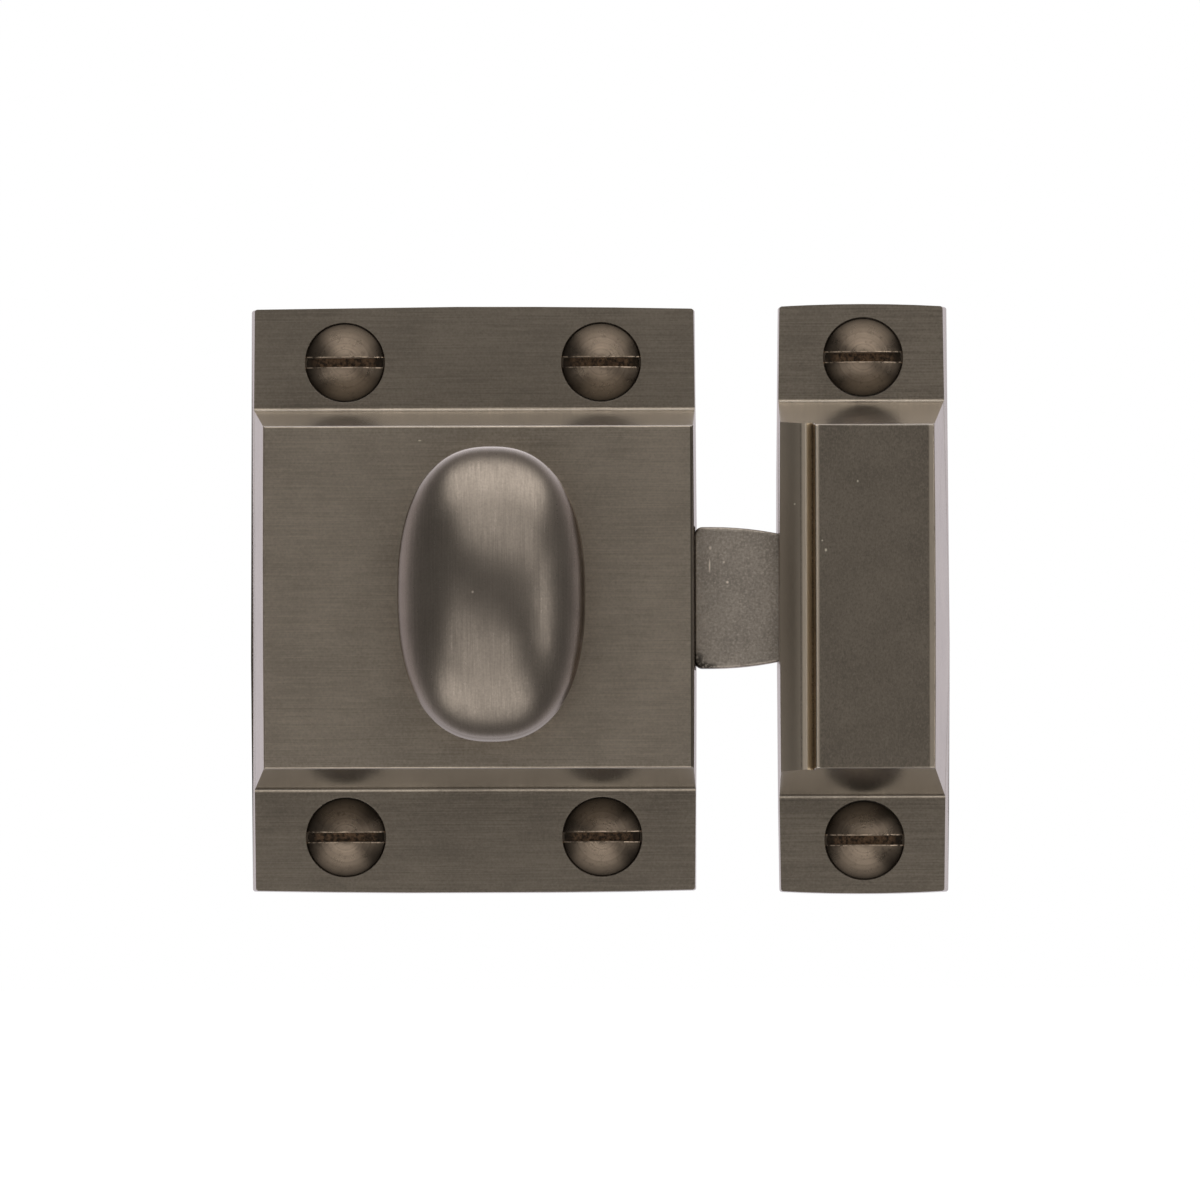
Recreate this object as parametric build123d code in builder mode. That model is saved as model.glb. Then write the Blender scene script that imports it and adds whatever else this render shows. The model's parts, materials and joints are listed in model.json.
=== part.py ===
from build123d import *
import os
from math import cos, radians, sin

# Surface cupboard latch in cast bronze-finished brass: a case with an oval turn
# that draws back a sprung bolt, and the separate keeper that the bolt enters.
# Millimetres. X runs across the face from the case to the keeper, Z is up and
# the face looks along -Y. The back plane, against the cupboard, is Y = 0, so a
# height above the back plane is a distance along -Y.

# Case casting
case_width = 38.1
case_length = 50.0
case_depth = 13.0
flange_thickness = 3.2
block_length = 28.9
outer_taper = 1.4
inner_taper = 0.5
end_taper = 0.3
side_bow = 0.15
end_bow = 0.2
step_draft = 0.85
cove_radius = 0.7
edge_round = 0.2
wall = 1.8
cavity_corner = 1.5

# Keeper casting
keeper_gap = 6.75
keeper_width = 14.8
keeper_length = 50.3
keeper_block_length = 29.0
keeper_step_draft = 1.7
keeper_outer_taper = 1.7
keeper_inner_taper = 0.35
keeper_side_bow = 0.2
lip_width = 3.4
lip_edge_height = 11.2
lip_crown_height = 12.5
lip_bulge = 0.2
groove_width = 0.9
groove_depth = 0.55
groove_edge_round = 0.42
keeper_wall = 1.9
keeper_roof = 2.3

# Fixing screws, number 6 raised countersunk, slotted
screw_inset_x = 8.15
screw_inset_z = 4.8
keeper_screw_inset = 4.6
screw_length = 15.9
screw_head_radius = 3.35
screw_dome = 1.0
screw_shank_radius = 1.75
screw_core_radius = 1.3
screw_shank_length = 4.6
screw_point_length = 3.6
screw_rim = 0.1
screw_sink = 0.1
slot_width = 0.8
slot_depth = 0.95
screw_hole_clearance = 0.2
screw_seat_clearance = 0.03

# Oval turn and its spindle
spindle_x = 1.7
knob_half_width = 7.85
knob_half_length = 12.3
knob_oval_power = 2.4
knob_front_height = 28.8
knob_dome = 3.4
knob_rim_inset = 0.66
knob_rim = 1.5
knob_underside = 3.9
collar_radius = 5.6
collar_thickness = 1.5
neck_radius = 3.9
neck_flare_radius = 5.2
journal_radius = 3.5
square_size = 4.8
running_clearance = 0.05

# Lever on the spindle
turn_angle = 50.0
lever_radius = 5.8
lever_pad_radius = 1.3
lever_arm_width = 2.0
hub_radius = 4.3
boss_radius = 5.5
boss_end = 8.9
washer_thickness = 0.5
washer_radius = 4.2
lever_back = 4.4
cam_washer_radius = 3.9
cam_washer_thickness = 0.6
cam_screw_radius = 1.5
cam_screw_head_radius = 2.75
cam_screw_head_thickness = 1.7
cam_screw_length = 6.6

# Bolt
bolt_front = 8.5
tongue_thickness = 4.2
tongue_half_width = 5.98
stem_half_width = 5.2
tongue_straight = 1.5
tongue_curve_radius = 28.0
tongue_corner = 0.7
nose_reach = 3.8
nose_corner = 0.8
nose_bevel = 2.4
bolt_body_back = 1.4
bolt_body_half_width = 8.9
bolt_tail_bar = 4.1
window_bar = 1.5
slide_clearance = 0.12
lever_clearance = 0.15
window_clearance = 0.3

# Bolt spring
spring_radius = 2.3
wire_radius = 0.3
spring_turns = 6
spring_height = 4.9
tail_spigot_radius = 1.65
tail_spigot_length = 2.5
seat_spigot_length = 0.9

# Back plate and its screws
plate_thickness = 1.0
plate_recess = 0.2
plate_ledge = 1.1
plate_clearance = 0.1
post_radius = 2.0
post_inset = 1.35
plate_screw_radius = 1.0
plate_screw_head_radius = 1.9
plate_screw_length = 5.0
guide_rib_z = 7.6
guide_rib_width = 1.4
stop_rib_z = 4.2
stop_rib_width = 1.6

# Places that follow from the sizes above
case_right = case_width / 2
case_left = -case_right
keeper_left = case_right + keeper_gap
keeper_right = keeper_left + keeper_width
keeper_middle = (keeper_left + keeper_right) / 2
cavity_left = case_left + outer_taper + wall
cavity_right = case_right - inner_taper - wall
cavity_middle = (cavity_left + cavity_right) / 2
cavity_width = cavity_right - cavity_left
cavity_length = block_length - 2 * wall
cavity_roof = case_depth - wall
plate_seat = plate_recess + plate_thickness
bolt_travel = 2 * lever_radius * sin(radians(turn_angle / 2))
pad_x = spindle_x + lever_radius * sin(radians(turn_angle / 2))
pad_z = -lever_radius * cos(radians(turn_angle / 2))
nose_x = keeper_left + nose_reach
screw_spacing_x = case_width - 2 * screw_inset_x
screw_spacing_z = case_length - 2 * screw_inset_z
keeper_screw_spacing = keeper_length - 2 * keeper_screw_inset
sink_mouth_radius = screw_head_radius + screw_sink + screw_rim + screw_seat_clearance
spindle_axis = Axis((spindle_x, 0, 0), (0, 1, 0))

os.makedirs("parts", exist_ok=True)


def level(height):
    """Plane parallel to the back, at a height above it, facing the front."""
    return Plane.XZ.offset(height)


def bowed_outline(height, left, right, half_length, bow):
    """Outline of a casting at one height: a rectangle whose edges bow out a little."""
    middle = (left + right) / 2
    corner = half_length - end_bow
    with BuildSketch(level(height)) as outline:
        with BuildLine():
            ThreePointArc((left + bow, -corner), (left, 0), (left + bow, corner))
            ThreePointArc((left + bow, corner), (middle, half_length), (right - bow, corner))
            ThreePointArc((right - bow, corner), (right, 0), (right - bow, -corner))
            ThreePointArc((right - bow, -corner), (middle, -half_length), (left + bow, -corner))
        make_face()
    return outline.sketch


def side_section(left, length, half_block, draft):
    """Side section of a casting: two flanges, and a block whose ends lean to coved feet."""
    above = case_depth + 1
    foot = half_block + draft
    lean = draft / (case_depth - flange_thickness)
    with BuildSketch(Plane.YZ.offset(left - 1)) as section:
        with BuildLine():
            Polyline(
                (-above, 0),
                (1, 0),
                (1, length),
                (-flange_thickness, length),
                (-flange_thickness, foot),
                (-above, half_block - lean),
                close=True,
            )
        make_face()
        corner = section.vertices().sort_by_distance((-flange_thickness, foot, 0))[0]
        fillet(corner, cove_radius)
        mirror(about=Plane.XZ)
    return section.sketch


def knob_oval(height, share):
    """Oval section of the turn at one height, as a share of its widest section."""
    points = []
    for step in range(32):
        angle = radians(360 * step / 32)
        x = abs(cos(angle)) ** (2 / knob_oval_power) * (1 if cos(angle) > 0 else -1)
        z = abs(sin(angle)) ** (2 / knob_oval_power) * (1 if sin(angle) > 0 else -1)
        points.append((spindle_x + share * knob_half_width * x, share * knob_half_length * z))
    with BuildSketch(level(height)) as oval:
        with BuildLine():
            Spline(*points, periodic=True)
        make_face()
    return oval.sketch


# Case: a hollow casting with two flanges, coved steps and a raised block
with BuildPart() as case:
    loft(
        sections=[
            bowed_outline(0, case_left, case_right, case_length / 2, side_bow),
            bowed_outline(
                case_depth,
                case_left + outer_taper,
                case_right - inner_taper,
                case_length / 2 - end_taper,
                side_bow,
            ),
        ],
        ruled=True,
    )
    section = side_section(case_left, case_length, block_length / 2, step_draft)
    extrude(section, amount=case_width + 2, mode=Mode.INTERSECT)
    front_faces = case.faces().filter_by(Axis.Y).group_by(Axis.Y)
    fillet(front_faces[0].edges(), edge_round)
    # hollow for the bolt work, and the rebate that the back plate lies in
    with BuildSketch(level(0)):
        with Locations((cavity_middle, 0)):
            RectangleRounded(cavity_width, cavity_length, cavity_corner)
    extrude(amount=cavity_roof, mode=Mode.SUBTRACT)
    with BuildSketch(level(0)):
        with Locations((cavity_middle, 0)):
            RectangleRounded(
                cavity_width + 2 * plate_ledge,
                cavity_length + 2 * plate_ledge,
                cavity_corner,
            )
    extrude(amount=plate_seat, mode=Mode.SUBTRACT)
    # posts for the plate screws, guide ribs over the bolt and the spindle's boss
    with BuildSketch(level(plate_seat)):
        with Locations((cavity_middle, 0)):
            with GridLocations(
                cavity_width - 2 * post_inset, cavity_length - 2 * post_inset, 2, 2
            ):
                Circle(post_radius)
    extrude(amount=cavity_roof - plate_seat)
    with BuildSketch(level(bolt_front + lever_clearance)):
        with Locations((cavity_middle, 0)):
            with GridLocations(1, 2 * guide_rib_z, 1, 2):
                Rectangle(cavity_width, guide_rib_width)
    extrude(amount=cavity_roof - bolt_front - lever_clearance)
    with BuildSketch(level(boss_end)):
        with Locations((spindle_x, 0)):
            Circle(boss_radius)
    extrude(amount=cavity_roof - boss_end)
    # ribs that the bolt stops against, and the spigot that holds the spring
    stop_rib_length = spindle_x - hub_radius - window_clearance - bolt_tail_bar
    stop_rib_length = stop_rib_length - bolt_travel - slide_clearance - cavity_left
    with BuildSketch(level(bolt_body_back)):
        with Locations((cavity_left + stop_rib_length / 2, 0)):
            with GridLocations(1, 2 * stop_rib_z, 1, 2):
                Rectangle(stop_rib_length, stop_rib_width)
    extrude(amount=cavity_roof - bolt_body_back)
    with BuildSketch(Plane.YZ.offset(cavity_left)):
        with Locations((-spring_height, 0)):
            Circle(tail_spigot_radius)
    extrude(amount=seat_spigot_length)
    # mouth for the bolt in the wall beside the keeper
    with BuildSketch(Plane.YZ.offset(cavity_right)):
        with Locations((-(bolt_front - tongue_thickness / 2), 0)):
            Rectangle(
                tongue_thickness + 2 * slide_clearance,
                2 * (tongue_half_width + slide_clearance),
            )
    extrude(amount=wall + inner_taper + slide_clearance, mode=Mode.SUBTRACT)
    # bore for the spindle, tapped holes in the posts and countersunk fixing holes
    with Locations(level(case_depth)):
        with Locations((spindle_x, 0)):
            Hole(journal_radius + running_clearance, depth=case_depth - boss_end + 1)
    with Locations(-level(plate_seat)):
        with Locations((cavity_middle, 0)):
            with GridLocations(
                cavity_width - 2 * post_inset, cavity_length - 2 * post_inset, 2, 2
            ):
                Hole(plate_screw_radius + running_clearance, depth=plate_screw_length)
    with Locations(level(flange_thickness)):
        with GridLocations(screw_spacing_x, screw_spacing_z, 2, 2):
            CounterSinkHole(
                radius=screw_shank_radius + screw_hole_clearance,
                counter_sink_radius=sink_mouth_radius,
                depth=flange_thickness + 1,
                counter_sink_angle=90,
            )
case.part.label = "case"
export_step(case.part, "parts/case.step")

# Keeper: a casting of the same section, with a lip that ramps back to the case
with BuildPart() as keeper:
    loft(
        sections=[
            bowed_outline(0, keeper_left, keeper_right, keeper_length / 2, keeper_side_bow),
            bowed_outline(
                case_depth,
                keeper_left + keeper_inner_taper,
                keeper_right - keeper_outer_taper,
                keeper_length / 2 - end_taper,
                keeper_side_bow,
            ),
        ],
        ruled=True,
    )
    section = side_section(
        keeper_left, keeper_length, keeper_block_length / 2, keeper_step_draft
    )
    extrude(section, amount=keeper_width + 2, mode=Mode.INTERSECT)
    # ramp of the lip and the groove between it and the face
    lip_end = keeper_left + lip_width - groove_width
    with BuildSketch(Plane.XY.offset(-case_length)) as ramp:
        with BuildLine():
            ramp_foot = (keeper_left - 1, -lip_edge_height)
            crown = (lip_end - edge_round, -lip_crown_height)
            brink = (lip_end, -(lip_crown_height - edge_round))
            bulge_x = (keeper_left + lip_end) / 2
            bulge_height = (lip_edge_height + lip_crown_height) / 2 + lip_bulge
            groove = (lip_end + groove_width / 2, -(lip_crown_height - groove_depth))
            face_edge = (lip_end + groove_width, -case_depth)
            Line(ramp_foot, (keeper_left, -lip_edge_height))
            ThreePointArc((keeper_left, -lip_edge_height), (bulge_x, -bulge_height), crown)
            Line(crown, brink)
            Line(brink, groove)
            Line(groove, face_edge)
            Line(face_edge, (face_edge[0], -case_depth - 1))
            Line((face_edge[0], -case_depth - 1), (ramp_foot[0], -case_depth - 1))
            Line((ramp_foot[0], -case_depth - 1), ramp_foot)
        make_face()
    extrude(amount=2 * case_length, mode=Mode.SUBTRACT)
    front_faces = keeper.faces().filter_by(Axis.Y).group_by(Axis.Y)
    fillet(front_faces[0].edges().sort_by(Axis.X)[0], groove_edge_round)
    front_faces = keeper.faces().filter_by(Axis.Y).group_by(Axis.Y)
    fillet(front_faces[0].edges().sort_by(Axis.X)[1:], edge_round)
    # pocket for the bolt's nose, open behind, and its mouth beside the case
    pocket_left = keeper_left + keeper_wall
    pocket_right = keeper_right - keeper_outer_taper - keeper_wall
    with BuildSketch(level(0)):
        with Locations(((pocket_left + pocket_right) / 2, 0)):
            RectangleRounded(
                pocket_right - pocket_left,
                keeper_block_length - 2 * keeper_wall,
                cavity_corner,
            )
    extrude(amount=lip_edge_height - keeper_roof, mode=Mode.SUBTRACT)
    with BuildSketch(Plane.YZ.offset(keeper_left - 1)):
        with Locations((-(bolt_front - tongue_thickness / 2), 0)):
            Rectangle(
                tongue_thickness + 2 * window_clearance,
                2 * (tongue_half_width + slide_clearance),
            )
    extrude(amount=keeper_wall + 2, mode=Mode.SUBTRACT)
    with Locations(level(flange_thickness)):
        with Locations((keeper_middle, 0)):
            with GridLocations(1, keeper_screw_spacing, 1, 2):
                CounterSinkHole(
                    radius=screw_shank_radius + screw_hole_clearance,
                    counter_sink_radius=sink_mouth_radius,
                    depth=flange_thickness + 1,
                    counter_sink_angle=90,
                )
keeper.part.label = "keeper"
export_step(keeper.part, "parts/keeper.step")

# Oval turn: head, neck, journal and square in one casting
with BuildPart() as turn_knob:
    widest = knob_front_height - knob_dome - knob_rim
    underside = []
    for angle in (-60, -42, -21, 0):
        height = widest + knob_underside * sin(radians(angle))
        underside.append(knob_oval(height, cos(radians(angle))))
    loft(sections=underside)
    shoulder = 1 - knob_rim_inset / knob_half_width
    dome = []
    for share in (1, 0.85, 0.68, 0.5, 0.3, 0.1):
        rise = knob_dome * (1 - share**2)
        dome.append(knob_oval(widest + knob_rim + rise, shoulder * share))
    loft(sections=[underside[-1], dome[0]], ruled=True)
    loft(sections=dome)
    with BuildSketch(Plane.XY.shift_origin((spindle_x, 0, 0))):
        with BuildLine():
            collar_foot = case_depth + 2 * running_clearance
            collar_top = collar_foot + collar_thickness
            flare_top = widest - knob_underside / 2
            Polyline(
                (0, -flare_top),
                (0, -(boss_end - washer_thickness - 2 * running_clearance)),
                (journal_radius, -(boss_end - washer_thickness - 2 * running_clearance)),
                (journal_radius, -collar_foot),
                (collar_radius - edge_round, -collar_foot),
            )
            ThreePointArc(
                (collar_radius - edge_round, -collar_foot),
                (collar_radius, -(collar_foot + collar_top) / 2),
                (neck_radius + edge_round, -collar_top),
            )
            ThreePointArc(
                (neck_radius + edge_round, -collar_top),
                (neck_radius, -(collar_top + 0.4 * (flare_top - collar_top))),
                (neck_flare_radius, -flare_top),
            )
            Line((neck_flare_radius, -flare_top), (0, -flare_top))
        make_face()
    revolve(axis=spindle_axis)
    with BuildSketch(level(lever_back + 4 * running_clearance)):
        with Locations((spindle_x, 0)):
            Rectangle(square_size, square_size)
    extrude(amount=boss_end - lever_back)
    chamfer_face = turn_knob.faces().filter_by(Axis.Y).sort_by(Axis.Y)[-1]
    chamfer(chamfer_face.edges(), edge_round)
    with Locations(-level(lever_back)):
        with Locations((spindle_x, 0)):
            Hole(cam_screw_radius + running_clearance, depth=cam_screw_length)
turn_knob.part.label = "turn_knob"
export_step(turn_knob.part, "parts/turn_knob.step")

# Washer between the case's boss and the lever
with BuildPart() as spindle_washer:
    with BuildSketch(level(boss_end - running_clearance - washer_thickness)):
        with Locations((spindle_x, 0)):
            Circle(washer_radius)
            Circle(journal_radius + running_clearance, mode=Mode.SUBTRACT)
    extrude(amount=washer_thickness)
spindle_washer.part.label = "spindle_washer"
export_step(spindle_washer.part, "parts/spindle_washer.step")

# Lever on the spindle's square, whose finger draws the bolt back
with BuildPart() as cam:
    with BuildSketch(level(lever_back)):
        with Locations((spindle_x, 0)):
            Circle(hub_radius)
        with Locations((pad_x, pad_z)):
            Circle(lever_pad_radius)
        with Locations(
            Location(((spindle_x + pad_x) / 2, pad_z / 2), turn_angle / 2)
        ):
            Rectangle(lever_arm_width, lever_radius)
        with Locations((spindle_x, 0)):
            square_hole = square_size + 2 * running_clearance
            Rectangle(square_hole, square_hole, mode=Mode.SUBTRACT)
    extrude(amount=boss_end - washer_thickness - 2 * running_clearance - lever_back)
cam.part.label = "cam"
export_step(cam.part, "parts/cam.step")

# Washer and screw that hold the lever on the square
with BuildPart() as cam_washer:
    with BuildSketch(level(lever_back - cam_washer_thickness)):
        with Locations((spindle_x, 0)):
            Circle(cam_washer_radius)
            Circle(cam_screw_radius + running_clearance, mode=Mode.SUBTRACT)
    extrude(amount=cam_washer_thickness)
cam_washer.part.label = "cam_washer"
export_step(cam_washer.part, "parts/cam_washer.step")

with BuildPart() as cam_screw:
    head_seat = lever_back - cam_washer_thickness
    with BuildSketch(level(head_seat)):
        with Locations((spindle_x, 0)):
            Circle(cam_screw_head_radius)
    extrude(amount=-cam_screw_head_thickness)
    rim = cam_screw.faces().filter_by(Axis.Y).sort_by(Axis.Y)[-1].edges()
    fillet(rim, cam_screw_head_thickness / 3)
    with BuildSketch(level(head_seat)):
        with Locations((spindle_x, 0)):
            Circle(cam_screw_radius)
    extrude(amount=cam_screw_length)
    tip = cam_screw.faces().filter_by(Axis.Y).sort_by(Axis.Y)[0].edges()
    chamfer(tip, cam_screw_radius / 4)
    with BuildSketch(level(head_seat - cam_screw_head_thickness)):
        with Locations((spindle_x, 0)):
            Rectangle(3 * cam_screw_head_radius, slot_width)
    extrude(amount=cam_screw_head_thickness / 2, mode=Mode.SUBTRACT)
cam_screw.part.label = "cam_screw"
export_step(cam_screw.part, "parts/cam_screw.step")

# Bolt: a framed body round the lever, a stem, and a tongue that narrows to its nose
with BuildPart() as bolt:
    body_left = spindle_x - hub_radius - window_clearance - bolt_tail_bar
    body_right = cavity_right - lever_clearance
    with BuildSketch(level(bolt_body_back)):
        with Locations(((body_left + body_right) / 2, 0)):
            RectangleRounded(body_right - body_left, 2 * bolt_body_half_width, 1)
    extrude(amount=bolt_front - bolt_body_back)
    # the window is stepped, so that only the finger's side of it is pushed
    window_left = spindle_x - hub_radius - window_clearance
    window_right = spindle_x + hub_radius + bolt_travel + window_clearance
    window_top = hub_radius + window_clearance
    window_bottom = -(lever_radius + lever_pad_radius + window_clearance)
    finger_wall = pad_x - lever_pad_radius - lever_clearance
    finger_top = -(hub_radius + 2 * window_clearance)
    with BuildSketch(level(bolt_body_back)) as window:
        with BuildLine():
            Polyline(
                (window_left, window_top),
                (window_right, window_top),
                (window_right, window_bottom),
                (finger_wall, window_bottom),
                (finger_wall, finger_top),
                (window_left, finger_top),
                close=True,
            )
        make_face()
    extrude(amount=bolt_front, mode=Mode.SUBTRACT)
    # stem and tongue
    tongue_rear = case_right - window_clearance
    tongue_bend = tongue_rear + tongue_straight
    nose_run = nose_x - tongue_bend
    nose_drop = tongue_curve_radius - (tongue_curve_radius**2 - nose_run**2) ** 0.5
    nose_half_width = tongue_half_width - nose_drop
    with BuildSketch(level(bolt_front - tongue_thickness)) as tongue:
        with BuildLine():
            rear_top = (tongue_rear, tongue_half_width)
            bend_top = (tongue_bend, tongue_half_width)
            nose_top = (nose_x, nose_half_width)
            Line((tongue_rear, 0), rear_top)
            Line(rear_top, bend_top)
            TangentArc(bend_top, nose_top, tangent=(1, 0))
            Line(nose_top, (nose_x, 0))
            Line((nose_x, 0), (tongue_rear, 0))
        make_face()
        mirror(about=Plane.XZ)
        fillet(tongue.vertices().group_by(Axis.X)[0], tongue_corner)
        fillet(tongue.vertices().group_by(Axis.X)[-1], nose_corner)
    extrude(amount=tongue_thickness)
    rim = bolt.faces().filter_by(Axis.Y).group_by(Axis.Y)[0].sort_by(Axis.X)[-1].edges()
    fillet(rim, edge_round)
    # bevel that rides up over the keeper's lip as the door shuts
    tongue_back = bolt_front - tongue_thickness
    with BuildSketch(Plane.XY.offset(-tongue_half_width)):
        with BuildLine():
            Polyline(
                (nose_x - nose_bevel - 1, -(tongue_back - 1)),
                (nose_x + 1, -(tongue_back + nose_bevel + 1)),
                (nose_x + 1, -(tongue_back - 1)),
                close=True,
            )
        make_face()
    extrude(amount=2 * tongue_half_width, mode=Mode.SUBTRACT)
    with BuildSketch(level(tongue_back)):
        stem_left = body_right - window_bar
        stem_right = tongue_rear + tongue_straight
        with Locations(((stem_left + stem_right) / 2, 0)):
            Rectangle(stem_right - stem_left, 2 * stem_half_width)
    extrude(amount=tongue_thickness - edge_round)
    with BuildSketch(Plane.YZ.offset(body_left)):
        with Locations((-spring_height, 0)):
            Circle(tail_spigot_radius)
    extrude(amount=-tail_spigot_length)
bolt.part.label = "bolt"
export_step(bolt.part, "parts/bolt.step")

# Compression spring between the case's wall and the bolt's tail
with BuildPart() as bolt_spring:
    coil_start = cavity_left + wire_radius + running_clearance
    coil_length = body_left - wire_radius - running_clearance - coil_start
    with BuildLine():
        coil = Helix(
            pitch=coil_length / spring_turns,
            height=coil_length,
            radius=spring_radius,
            center=(coil_start, -spring_height, 0),
            direction=(1, 0, 0),
        )
    with BuildSketch(Plane(origin=coil @ 0, z_dir=coil % 0)):
        Circle(wire_radius)
    sweep()
bolt_spring.part.label = "bolt_spring"
export_step(bolt_spring.part, "parts/bolt_spring.step")

# Back plate, let into the case behind the bolt
with BuildPart() as back_plate:
    with BuildSketch(level(plate_recess)):
        with Locations((cavity_middle, 0)):
            RectangleRounded(
                cavity_width + 2 * (plate_ledge - plate_clearance),
                cavity_length + 2 * (plate_ledge - plate_clearance),
                cavity_corner - plate_clearance,
            )
    extrude(amount=plate_thickness)
    with Locations(-level(plate_recess)):
        with Locations((cavity_middle, 0)):
            with GridLocations(
                cavity_width - 2 * post_inset, cavity_length - 2 * post_inset, 2, 2
            ):
                CounterSinkHole(
                    radius=plate_screw_radius + plate_clearance,
                    counter_sink_radius=plate_screw_head_radius + plate_clearance,
                    depth=plate_thickness,
                    counter_sink_angle=90,
                )
back_plate.part.label = "back_plate"
export_step(back_plate.part, "parts/back_plate.step")

# Countersunk screws of the back plate
with BuildPart() as plate_screws:
    with Locations(-level(plate_recess)):
        with Locations((cavity_middle, 0)):
            with GridLocations(
                cavity_width - 2 * post_inset, cavity_length - 2 * post_inset, 2, 2
            ):
                cone_height = plate_screw_head_radius - plate_screw_radius
                with Locations((0, 0, -cone_height / 2)):
                    Cone(plate_screw_radius, plate_screw_head_radius, cone_height)
                with Locations((0, 0, -plate_screw_length / 2)):
                    Cylinder(plate_screw_radius, plate_screw_length)
                slot_cut = plate_screw_head_radius / 4
                with Locations((0, 0, -slot_cut / 2)):
                    Box(
                        3 * plate_screw_head_radius,
                        slot_width / 2,
                        slot_cut,
                        mode=Mode.SUBTRACT,
                    )
plate_screws.part.label = "plate_screws"
export_step(plate_screws.part, "parts/plate_screws.step")


def wood_screw():
    """Slotted raised countersunk wood screw, its rim at Z = 0 and its point down."""
    cone_end = -screw_rim - (screw_head_radius - screw_shank_radius)
    shank_end = -screw_shank_length
    point_start = -screw_length + screw_point_length
    with BuildPart() as screw:
        with BuildSketch(Plane.XZ):
            with BuildLine():
                ThreePointArc(
                    (0, screw_dome),
                    (0.55 * screw_head_radius, 0.71 * screw_dome),
                    (screw_head_radius, 0),
                )
                Polyline(
                    (screw_head_radius, 0),
                    (screw_head_radius, -screw_rim),
                    (screw_shank_radius, cone_end),
                    (screw_shank_radius, shank_end),
                    (screw_core_radius, shank_end - 0.5),
                    (screw_core_radius, point_start),
                    (0, -screw_length),
                    (0, screw_dome),
                )
            make_face()
        revolve(axis=Axis.Z)
        with Locations((0, 0, screw_dome - slot_depth / 2)):
            Box(3 * screw_head_radius, slot_width, slot_depth, mode=Mode.SUBTRACT)
    return screw.part


# Fixing screws of the case and of the keeper
with BuildPart() as case_screws:
    with Locations(level(flange_thickness - screw_sink)):
        with GridLocations(screw_spacing_x, screw_spacing_z, 2, 2):
            add(wood_screw())
case_screws.part.label = "case_screws"
export_step(case_screws.part, "parts/case_screws.step")

with BuildPart() as keeper_screws:
    with Locations(level(flange_thickness - screw_sink)):
        with Locations((keeper_middle, 0)):
            with GridLocations(1, keeper_screw_spacing, 1, 2):
                add(wood_screw())
keeper_screws.part.label = "keeper_screws"
export_step(keeper_screws.part, "parts/keeper_screws.step")
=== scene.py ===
import json
import math

import bpy
from mathutils import Matrix, Vector

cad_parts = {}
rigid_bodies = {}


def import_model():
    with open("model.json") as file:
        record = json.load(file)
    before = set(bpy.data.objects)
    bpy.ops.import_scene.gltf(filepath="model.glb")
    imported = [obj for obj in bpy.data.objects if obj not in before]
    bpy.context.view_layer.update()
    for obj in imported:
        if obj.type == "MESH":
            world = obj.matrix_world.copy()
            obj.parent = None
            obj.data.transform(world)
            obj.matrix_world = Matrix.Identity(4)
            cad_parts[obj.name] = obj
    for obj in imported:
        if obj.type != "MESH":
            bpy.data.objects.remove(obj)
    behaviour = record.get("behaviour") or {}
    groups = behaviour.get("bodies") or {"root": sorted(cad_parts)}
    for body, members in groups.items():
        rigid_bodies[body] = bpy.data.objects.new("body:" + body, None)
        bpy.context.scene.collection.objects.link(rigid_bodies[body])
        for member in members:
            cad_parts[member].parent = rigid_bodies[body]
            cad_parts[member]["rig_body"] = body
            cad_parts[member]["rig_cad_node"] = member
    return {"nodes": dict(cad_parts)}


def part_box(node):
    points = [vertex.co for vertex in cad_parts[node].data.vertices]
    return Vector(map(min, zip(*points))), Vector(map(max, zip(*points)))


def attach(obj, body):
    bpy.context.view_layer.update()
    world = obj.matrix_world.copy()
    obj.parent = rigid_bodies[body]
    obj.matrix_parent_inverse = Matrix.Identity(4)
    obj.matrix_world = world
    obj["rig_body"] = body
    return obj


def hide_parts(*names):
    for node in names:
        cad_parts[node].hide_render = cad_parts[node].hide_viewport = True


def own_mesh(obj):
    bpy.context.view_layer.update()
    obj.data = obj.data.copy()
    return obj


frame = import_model()

bl_info = {
    "name": "Cupboard catch latch",
    "version": (1, 0, 0),
    "blender": (4, 5, 0),
    "location": "3D View > Sidebar > Catch",
    "description": "Builds the visible pieces of a bronze cupboard catch round its solid model",
    "category": "Add Mesh",
}

MM = 0.001
NODES = frame["nodes"]

# Places and sizes in millimetres that the pieces share with the solids, such as the levels of
# the flanges' front and the journal's end, and the power of the turn's oval
FLANGE_FRONT = -3.1
JOURNAL_END = -8.35
SCREW_BOX_RADIUS = 3.35
CASE_STEP_FOOT = 15.95
KEEPER_STEP_FOOT = 16.82
KEEPER_GROOVE = 28.3
OVAL_POWER = 2.4

# Scale of the brushing's fine and of its broad streaks along X, Y and Z
ACROSS = ((110, 7000, 8500), (420, 3200, 3800))
UPWARD = ((8500, 1100, 120), (3600, 700, 400))
GRAINY = ((9000, 9000, 4200), (4200, 4200, 2400))


def node_box(node):
    """Lowest and highest corner of a solid, in metres."""
    low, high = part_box(node)
    return Vector(low), Vector(high)


CASE_LOW, CASE_HIGH = node_box("case")
KNOB_LOW, KNOB_HIGH = node_box("turn_knob")
CASE_SCREWS_LOW, CASE_SCREWS_HIGH = node_box("case_screws")
KEEPER_SCREWS_LOW, KEEPER_SCREWS_HIGH = node_box("keeper_screws")


def screw_places(low, high):
    """Middles of the screws at the corners of a box that just holds their heads."""
    r = SCREW_BOX_RADIUS * MM
    columns = (low.x + r, high.x - r) if high.x - low.x > 3 * r else ((low.x + high.x) / 2,)
    return [(x, z) for x in columns for z in (low.z + r, high.z - r)]


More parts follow.
